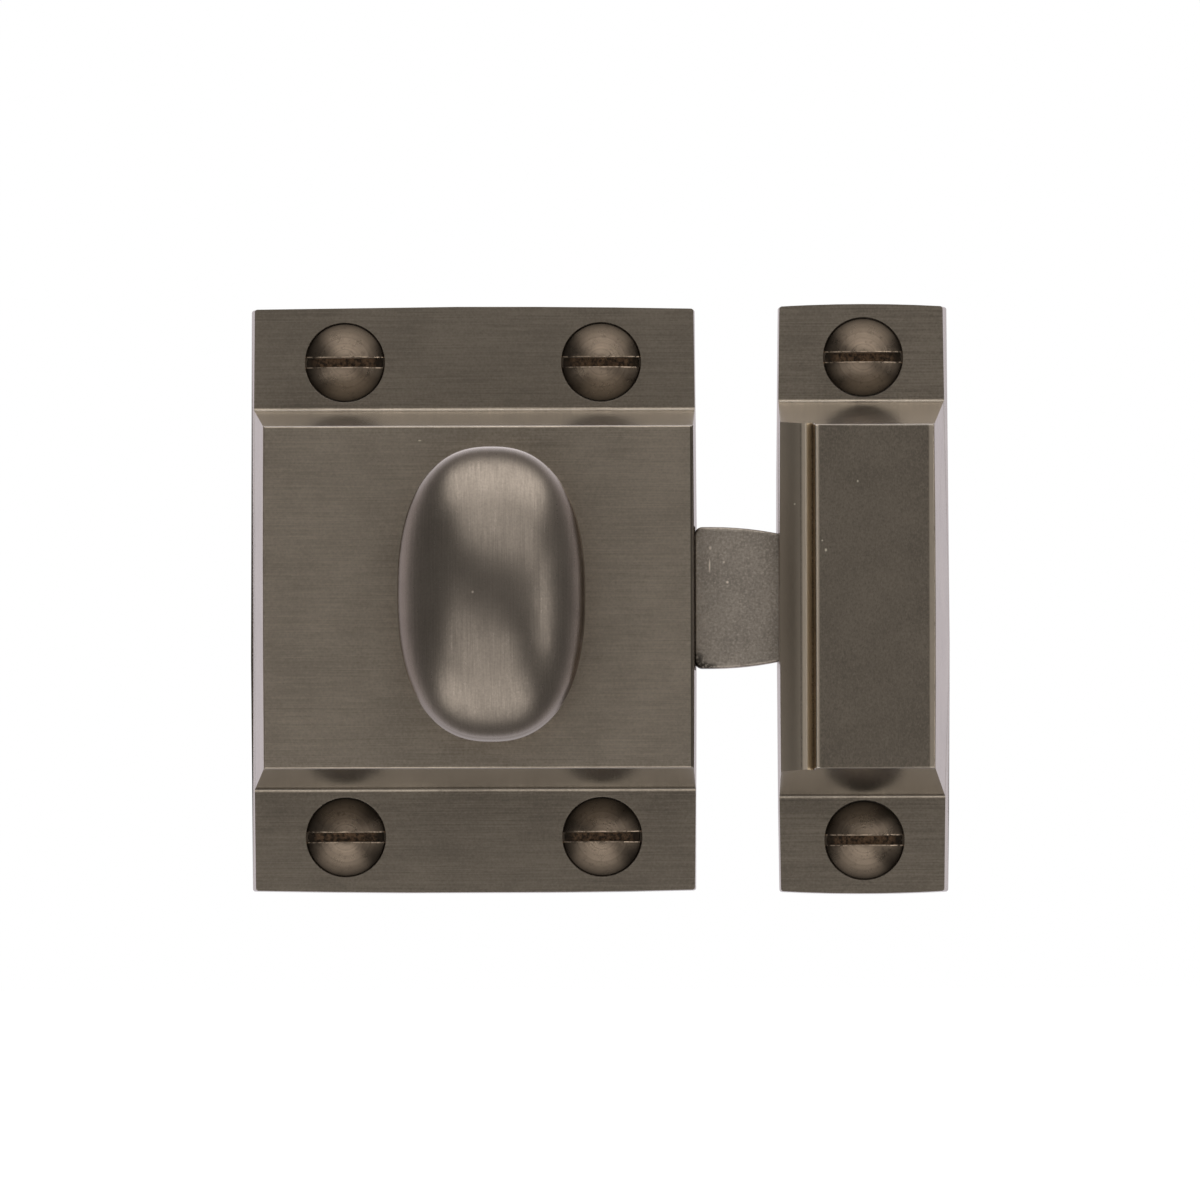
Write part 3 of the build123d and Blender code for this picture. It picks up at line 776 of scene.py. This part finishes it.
def raise_dome(spindle_x):
    """Draw the selected outline up into the dome, steep at its rim and flatter towards the middle."""
    s = sizes()
    steps, lift_steps = 60, 12
    height, share, centre = 0.0, 1.0, 0.0
    for step in range(1, steps):
        next_share = math.cos(math.pi / 2 * (step / steps) ** 1.35)
        next_height = s.knob_dome * (1 - next_share ** 2) ** (2 / 3)
        lift = s.knob_lift / lift_steps if step <= lift_steps else 0.0
        rise = next_height - height
        bpy.ops.mesh.extrude_edges_move(TRANSFORM_OT_translate={"value": (0, -rise, lift)})
        centre += lift
        scale = next_share / share
        bpy.ops.transform.resize(value=(scale, 1, scale), center_override=(spindle_x, 0, centre))
        height, share = next_height, next_share
    bpy.ops.mesh.edge_face_add()


def draw_underside(piece, spindle_x, widest):
    """Draw the turn's underside from its widest section in to the neck, and say where it ends."""
    choose_edges(piece, [widest], 1e-7)
    bpy.ops.mesh.select_mode(type="EDGE")
    depth, steps, sweep = sizes().knob_underside, 14, 56
    last = 0.0
    for step in range(1, steps + 1):
        angle = math.radians(sweep * step / steps)
        drop = depth * (math.sin(angle) - math.sin(last))
        bpy.ops.mesh.extrude_edges_move(TRANSFORM_OT_translate={"value": (0, drop, 0)})
        scale = math.cos(angle) / math.cos(last)
        bpy.ops.transform.resize(value=(scale, 1, scale), center_override=(spindle_x, 0, 0))
        last = angle
    bpy.ops.object.mode_set(mode="OBJECT")
    return widest + depth * math.sin(last)


def neck_profile(under):
    """Radius and level of the neck's, the collar's and the journal's outline."""
    collar = CASE_LOW.y - 0.1 * MM
    neck = ((4.75, 0.55), (4.15, 1.3), (3.93, 2.3), (sizes().neck_radius / MM, 3.4))
    ring = ((4.0, 1.75), (4.35, 1.52), (5.2, 1.42), (5.52, 1.15), (5.6, 0.75), (5.5, 0.25),
            (5.3, 0.0), (3.5, 0.0))
    profile = [(r * MM, under + y * MM) for r, y in neck]
    profile += [(r * MM, collar - y * MM) for r, y in ring]
    return profile + [(3.5 * MM, JOURNAL_END * MM)]


class CATCH_OT_turn(bpy.types.Operator):
    """Oval turn: a domed head drawn in from a neck"""

    bl_idname = "catch.turn"
    bl_label = "Oval turn"

    def execute(self, context):
        s = sizes()
        spindle_x = (KNOB_LOW.x + KNOB_HIGH.x) / 2
        widest = KNOB_LOW.y + s.knob_dome
        count, slack = 144, 2e-6
        outline = oval_outline(spindle_x, widest, s.knob_half_width, s.knob_half_length, count)
        piece = draw_line("oval_turn", outline)
        bpy.ops.mesh.select_all(action="SELECT")
        bpy.ops.mesh.remove_doubles(threshold=1e-6)
        bpy.ops.mesh.select_all(action="SELECT")
        raise_dome(spindle_x)
        under = draw_underside(piece, spindle_x, widest)
        # neck, collar and journal, spun round the spindle and joined to the underside
        profile = neck_profile(under)
        neck = draw_line("neck", [(spindle_x + r, y, 0) for r, y in profile])
        bpy.ops.mesh.select_all(action="SELECT")
        bpy.ops.mesh.spin(
            steps=count, angle=2 * math.pi, center=(spindle_x, 0, 0), axis=(0, 1, 0))
        bpy.ops.mesh.select_all(action="SELECT")
        bpy.ops.mesh.remove_doubles(threshold=1e-6)
        bpy.ops.object.mode_set(mode="OBJECT")
        pick(piece)
        neck.select_set(True)
        bpy.ops.object.join()
        bpy.ops.object.mode_set(mode="EDIT")
        choose_edges(piece, [under, profile[0][1]], slack)
        bpy.ops.mesh.bridge_edge_loops(number_cuts=4, interpolation="SURFACE", smoothness=0.6)
        # end of the journal, inside the case
        choose_edges(piece, [JOURNAL_END * MM], slack)
        bpy.ops.mesh.edge_face_add()
        bpy.ops.object.mode_set(mode="OBJECT")
        tidy_mesh(piece, 40)
        metal = brushed_bronze(
            "brushed_bronze_turn", finish_colours().knob, 0.31, UPWARD, UPWARD,
            tones=(1.0, 1.0), contrast=0.35, sides=(0.5, 0.68), nicks=((0.2, 0.1, 0.8, 0.8, 0.1),))
        dress(piece, metal, "knob", "bronze_turn", "turn_knob")
        return {"FINISHED"}


def screw_profile():
    """Radius and level of a wood screw's outline, from the middle of its head to its point."""
    s = sizes()
    rim = FLANGE_FRONT * MM
    r = s.head_radius
    shank, core, ridge = 1.75 * MM, 1.3 * MM, 0.42 * MM
    taper, tip = rim + 12.3 * MM, rim + 15.88 * MM
    steps = 10
    profile = []
    for step in range(steps):
        share = step / steps
        profile.append((r * share, rim - s.head_dome * (1 - share ** 2)))
    profile += [
        (r * 0.985, rim - 0.03 * MM),
        (r, rim),
        (r, rim + 0.08 * MM),
        (shank, rim + 1.7 * MM),
        (shank, rim + 4.6 * MM),
        (core, rim + 5.1 * MM),
    ]
    # ridges that stand for the thread, also over the taper of the point
    root = rim + 5.3 * MM
    while root + s.thread_pitch < tip - 0.8 * MM:
        for share, height in ((0.0, 0.0), (0.38, ridge), (0.5, ridge), (0.88, 0.0)):
            along = root + share * s.thread_pitch
            inner = core * min(1, (tip - along) / (tip - taper))
            profile.append((inner + height * min(1, inner / MM), along))
        root += s.thread_pitch
    profile.append((0.02 * MM, tip))
    return profile


def fixing_screw(name, x, z):
    """One slotted, domed, countersunk wood screw."""
    piece = draw_line(name, [(px, py, 0) for px, py in screw_profile()])
    bpy.ops.mesh.select_all(action="SELECT")
    bpy.ops.mesh.spin(steps=72, angle=2 * math.pi, center=(0, 0, 0), axis=(0, 1, 0))
    bpy.ops.mesh.select_all(action="SELECT")
    bpy.ops.mesh.remove_doubles(threshold=1e-6)
    bpy.ops.mesh.fill_holes(sides=0)
    bpy.ops.mesh.normals_make_consistent(inside=False)
    bpy.ops.object.mode_set(mode="OBJECT")
    clear_selection()
    bpy.ops.mesh.primitive_cube_add(size=1, location=(0, FLANGE_FRONT * MM - 0.45 * MM, 0))
    cutter = bpy.context.object
    cutter.scale = (9 * MM, 1.3 * MM, sizes().slot_width)
    bpy.ops.object.transform_apply(location=True, rotation=True, scale=True)
    pick(piece)
    slot = piece.modifiers.new("Slot", "BOOLEAN")
    slot.operation = "DIFFERENCE"
    slot.solver = "EXACT"
    slot.object = cutter
    bpy.ops.object.modifier_apply(modifier=slot.name)
    bpy.data.objects.remove(cutter)
    uv = piece.data.uv_layers.new(name="face_map")
    for loop in piece.data.loops:
        co = piece.data.vertices[loop.vertex_index].co
        uv.data[loop.index].uv = (co.x / MM, co.z / MM)
    soften_edges(piece, 0.05 * MM, 2, 40)
    pick(piece)
    piece.location = (x, 0, z)
    bpy.ops.object.transform_apply(location=True, rotation=False, scale=False)
    return piece


class CATCH_OT_screws(bpy.types.Operator):
    """Slotted fixing screws of the case and the keeper"""

    bl_idname = "catch.screws"
    bl_label = "Fixing screws"

    def execute(self, context):
        radius, slot = sizes().head_radius / MM, sizes().slot_width / MM
        metal = turned_bronze("turned_bronze_screws", finish_colours().screw, 0.29, radius, slot)
        for number, (x, z) in enumerate(CASE_SCREW_PLACES):
            screw = fixing_screw(f"case_screw_{number + 1}", x, z)
            dress(screw, metal, "case", "bronze_screws", "case_screws")
        for number, (x, z) in enumerate(KEEPER_SCREW_PLACES):
            screw = fixing_screw(f"keeper_screw_{number + 1}", x, z)
            dress(screw, metal, "keeper", "bronze_screws", "keeper_screws")
        return {"FINISHED"}


class CATCH_OT_inner(bpy.types.Operator):
    """Metals of the pieces inside the case"""

    bl_idname = "catch.inner"
    bl_label = "Inner pieces"

    def execute(self, context):
        brass = plain_metal("plain_brass", finish_colours().inner, 0.33)
        wire = plain_metal("spring_wire", finish_colours().wire, 0.28, 4000)
        for node in ("back_plate", "plate_screws", "spindle_washer", "cam", "cam_washer", "cam_screw"):
            NODES[node].material_slots[0].material = brass
        coil = NODES["bolt_spring"]
        coil.material_slots[0].material = wire
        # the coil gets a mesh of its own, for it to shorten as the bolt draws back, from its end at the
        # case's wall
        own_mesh(coil)
        return {"FINISHED"}


# Stage

def aimed(place, target, twist):
    """Rotation of a lamp or camera that looks at a target, twisted by an angle in degrees."""
    turn = (Vector(target) - Vector(place)).to_track_quat("-Z", "Y").to_matrix()
    return (turn @ Matrix.Rotation(math.radians(twist), 3, "Z")).to_euler()


def soft_box(name, place, target, width, height, watts, twist=0.0):
    """Area lamp that faces a target, twisted about its own middle by an angle in degrees."""
    clear_selection()
    bpy.ops.object.light_add(type="AREA", location=place)
    lamp = bpy.context.object
    lamp.name = name
    lamp.data.shape = "RECTANGLE"
    lamp.data.size = width
    lamp.data.size_y = height
    lamp.data.energy = watts
    lamp.rotation_euler = aimed(place, target, twist)
    lamp.visible_camera = False


def background_world():
    """White behind the object, grey in front of it, for the metal to show."""
    world = bpy.data.worlds.new("studio")
    bpy.context.scene.world = world
    world.use_nodes = True
    tree = world.node_tree
    surface = tree.nodes["Background"]
    depth = parts_of(tree, node_at(tree, "ShaderNodeTexCoord").outputs["Generated"])["Y"]
    seen = node_at(tree, "ShaderNodeLightPath").outputs["Is Camera Ray"]
    white, cool_white = (1.0, 1.0, 1.0), (0.98, 0.93, 1.0)
    cool = mixed(tree, spread(tree, depth, 0.05, 0.3, 0, 1), white, cool_white)
    level = mixed_values(tree, seen, spread(tree, depth, 0.05, 0.3, 0.19, 0.8), 1.0)
    tree.links.new(mixed(tree, seen, cool, white), surface.inputs["Color"])
    tree.links.new(level, surface.inputs["Strength"])


def floor_material():
    """Pale floor that glows white to the camera and hardly lights the object."""
    material = bpy.data.materials.new("pale_floor")
    material.use_nodes = True
    tree = material.node_tree
    tree.nodes.clear()
    out = node_at(tree, "ShaderNodeOutputMaterial")
    diffuse = node_at(tree, "ShaderNodeBsdfDiffuse", Color=(0.95, 0.95, 0.95, 1))
    glow = node_at(tree, "ShaderNodeEmission", Color=(1, 1, 1, 1), Strength=1.15)
    blend = node_at(tree, "ShaderNodeMixShader")
    seen = node_at(tree, "ShaderNodeLightPath").outputs["Is Camera Ray"]
    tree.links.new(spread(tree, seen, 0, 1, 0.0, 0.9), blend.inputs[0])
    tree.links.new(diffuse.outputs[0], blend.inputs[1])
    tree.links.new(glow.outputs[0], blend.inputs[2])
    tree.links.new(blend.outputs[0], out.inputs["Surface"])
    return material


class CATCH_OT_stage(bpy.types.Operator):
    """Floor, lamps, world and camera"""

    bl_idname = "catch.stage"
    bl_label = "Stage"

    def execute(self, context):
        scene = context.scene
        scene.view_settings.view_transform = "Standard"
        background_world()
        clear_selection()
        bpy.ops.mesh.primitive_plane_add(size=6, location=(0, 0, -0.07))
        floor = context.object
        floor.name = "floor"
        floor.data.materials.append(floor_material())
        bpy.ops.object.transform_apply(location=True, rotation=True, scale=True)
        # the lower boxes stand under the floor, so it shades nothing and the metal sees past it
        floor.visible_shadow = False
        floor.visible_glossy = False
        middle = Vector((0.0107, -0.01, 0.0))
        # each pair of boxes is brighter high up and low down than level with the catch
        soft_box("box_above", (0.08, -0.37, 0.665), middle, 1.4, 0.46, 3.6, -12)
        soft_box("front_above", (0.14, -0.69, 0.36), middle, 1.2, 0.30, 1.15, -16)
        soft_box("box_below", (-0.10, -0.45, -0.615), middle, 1.25, 0.42, 2.15, -12)
        soft_box("front_below", (-0.13, -0.70, -0.29), middle, 0.95, 0.34, 0.88, -16)
        soft_box("lamp_right", (0.55, -0.40, -0.06), middle, 0.14, 0.28, 0.23)
        eye, look_at = (0.0107, -1.0, -0.021), (0.01076, 0.0, 0.0)
        bpy.ops.object.camera_add(location=eye)
        camera = context.object
        camera.name = "camera"
        sensor, view_width = 36, 0.1024
        camera.data.sensor_width = sensor
        camera.data.lens = sensor / view_width
        camera.data.clip_start = 0.05
        camera.data.clip_end = 20
        camera.rotation_euler = aimed(eye, look_at, -0.15)
        scene.camera = camera
        return {"FINISHED"}


class CATCH_PT_panel(bpy.types.Panel):
    """Lists the pieces of the catch"""

    bl_label = "Cupboard catch"
    bl_idname = "CATCH_PT_panel"
    bl_space_type = "VIEW_3D"
    bl_region_type = "UI"
    bl_category = "Catch"

    def draw(self, context):
        for operator in OPERATORS:
            self.layout.operator(operator.bl_idname)
        for group in (context.scene.catch_sizes, context.scene.catch_finish):
            for name in group.__annotations__:
                self.layout.prop(group, name)


OPERATORS = (
    CATCH_OT_stage,
    CATCH_OT_case,
    CATCH_OT_keeper,
    CATCH_OT_bolt,
    CATCH_OT_turn,
    CATCH_OT_screws,
    CATCH_OT_inner,
)
CLASSES = (CatchSizes, CatchFinish, *OPERATORS, CATCH_PT_panel)


def register():
    """Add the catch's classes and the scene's properties."""
    for cls in CLASSES:
        bpy.utils.register_class(cls)
    bpy.types.Scene.catch_sizes = bpy.props.PointerProperty(type=CatchSizes)
    bpy.types.Scene.catch_finish = bpy.props.PointerProperty(type=CatchFinish)


def unregister():
    """Take the scene's properties and the catch's classes away again."""
    del bpy.types.Scene.catch_finish
    del bpy.types.Scene.catch_sizes
    for cls in reversed(CLASSES):
        bpy.utils.unregister_class(cls)


def main():
    """Build every piece and the stage."""
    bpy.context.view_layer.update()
    register()
    bpy.ops.catch.stage()
    bpy.ops.catch.case()
    bpy.ops.catch.keeper()
    bpy.ops.catch.bolt()
    bpy.ops.catch.turn()
    bpy.ops.catch.screws()
    bpy.ops.catch.inner()


if __name__ == "__main__":
    main()
